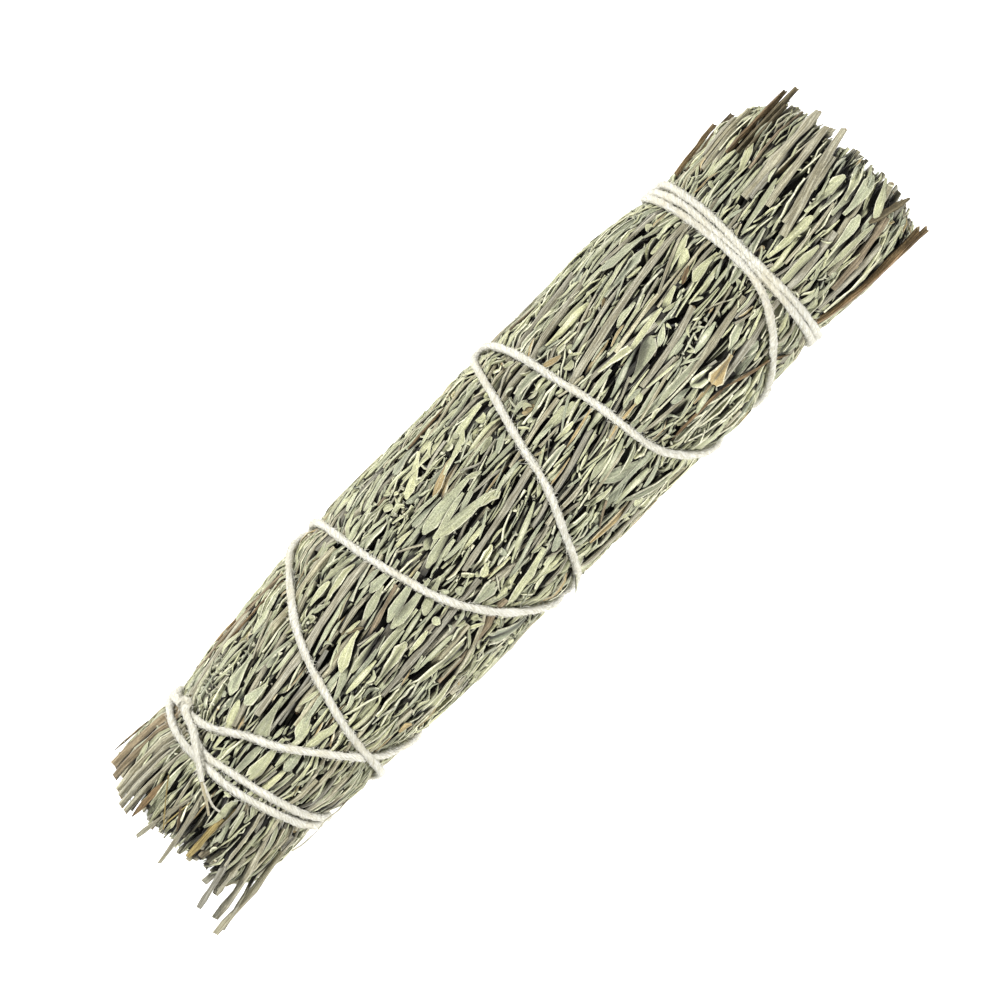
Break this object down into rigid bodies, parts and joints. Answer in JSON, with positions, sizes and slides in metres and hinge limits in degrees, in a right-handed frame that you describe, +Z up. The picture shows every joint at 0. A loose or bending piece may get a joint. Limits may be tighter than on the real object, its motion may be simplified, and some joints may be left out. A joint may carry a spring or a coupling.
{
  "type": "sage smudge stick",
  "caption": "Cylindrical bundle of dried grey-green sagebrush sprigs, cut square at both ends and bound with white cotton string that spirals up and back to a knot.",
  "frame": {"origin": "middle of the bounding box, on the surface that the stick lies on", "axes": "+X along the stick, from the knotted end to the other; +Z up out of the surface"},
  "size_m": [0.2062, 0.0474, 0.038],
  "materials": {
    "sage_leaves": "dry, matt, downy grey-green leaves with pale margins",
    "sage_stems": "dry, matt, grooved grey-tan stems",
    "cotton": "soft, matt, slightly hairy plied cotton"
  },
  "bodies": {
    "root": {"outer_sprig_01": "sage_leaves", "outer_sprig_02": "sage_leaves", "outer_sprig_03": "sage_leaves", "outer_sprig_04": "sage_leaves", "outer_sprig_05": "sage_leaves", "outer_sprig_06": "sage_leaves", "outer_sprig_07": "sage_leaves", "outer_sprig_08": "sage_leaves", "outer_sprig_09": "sage_leaves", "outer_sprig_10": "sage_leaves", "outer_sprig_11": "sage_leaves", "outer_sprig_12": "sage_leaves", "outer_sprig_13": "sage_leaves", "middle_sprig_01": "sage_stems", "middle_sprig_02": "sage_stems", "middle_sprig_03": "sage_stems", "middle_sprig_04": "sage_stems", "middle_sprig_05": "sage_stems", "middle_sprig_06": "sage_stems", "centre_sprig": "sage_stems", "cotton_string": "cotton"}
  },
  "joints": []
}
